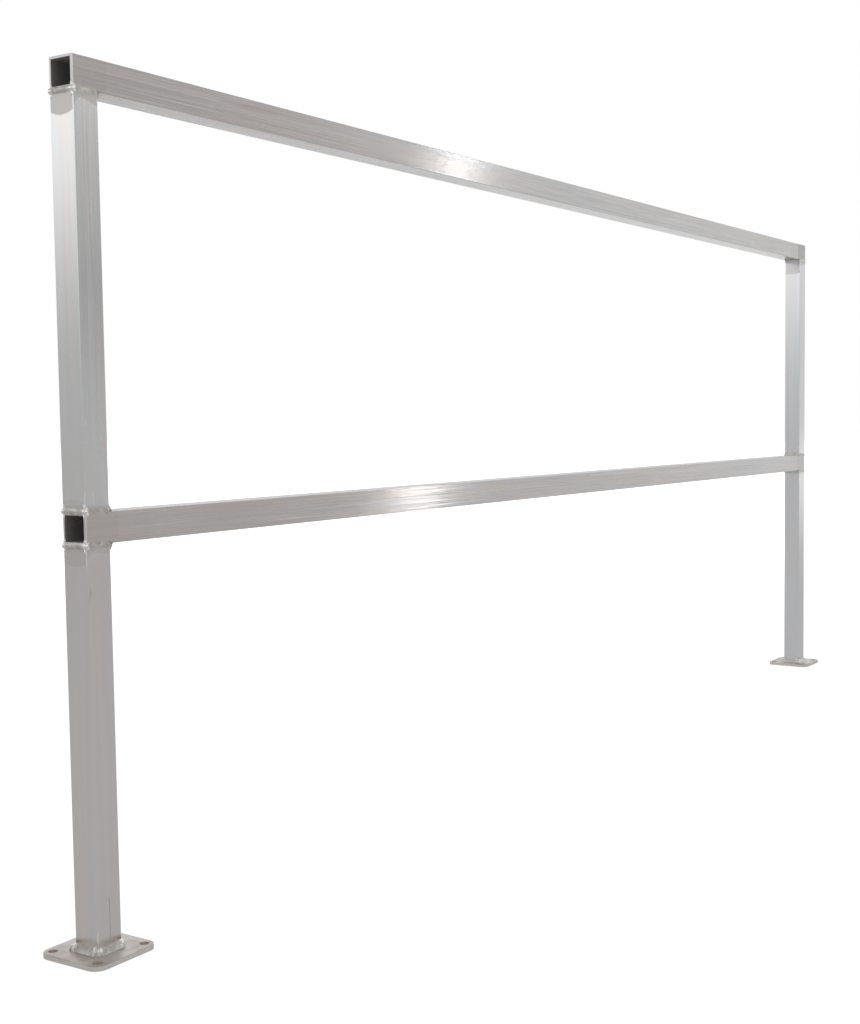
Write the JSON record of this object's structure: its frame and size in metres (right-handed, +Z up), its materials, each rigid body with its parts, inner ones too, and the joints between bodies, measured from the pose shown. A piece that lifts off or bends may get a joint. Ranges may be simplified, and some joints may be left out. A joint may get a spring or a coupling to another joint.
{
  "type": "crowd control barrier",
  "caption": "Welded square-tube aluminium barrier: rails over and through two posts on drilled base plates, anchored to the ground to hold back or guide a queue of people.",
  "frame": {"origin": "centre of the barrier's footprint, on the underside of the base plates", "axes": "+X along the rails from the left post to the right post, +Y across the barrier, +Z up"},
  "size_m": [2.5018, 0.1016, 1.0668],
  "materials": {
    "rail_tube": "mill finish extruded aluminium, fine streaks along the tube",
    "post_tube": "mill finish extruded aluminium, fine streaks along the tube",
    "base_plate": "mill finish plate, dull and slightly brown from the heat of welding",
    "weld_metal": "bright rippled weld bead, as welded"
  },
  "bodies": {
    "root": {"top_rail": "rail_tube", "mid_rail": "rail_tube", "left_upper_post": "post_tube", "left_lower_post": "post_tube", "left_base_plate": "base_plate", "left_foot_weld": "weld_metal", "left_top_outer_weld": "weld_metal", "left_top_inner_weld": "weld_metal", "left_mid_upper_outer_weld": "weld_metal", "left_mid_upper_inner_weld": "weld_metal", "left_mid_lower_outer_weld": "weld_metal", "left_mid_lower_inner_weld": "weld_metal", "right_upper_post": "post_tube", "right_lower_post": "post_tube", "right_base_plate": "base_plate", "right_foot_weld": "weld_metal", "right_top_outer_weld": "weld_metal", "right_top_inner_weld": "weld_metal", "right_mid_upper_outer_weld": "weld_metal", "right_mid_upper_inner_weld": "weld_metal", "right_mid_lower_outer_weld": "weld_metal", "right_mid_lower_inner_weld": "weld_metal"}
  },
  "joints": []
}
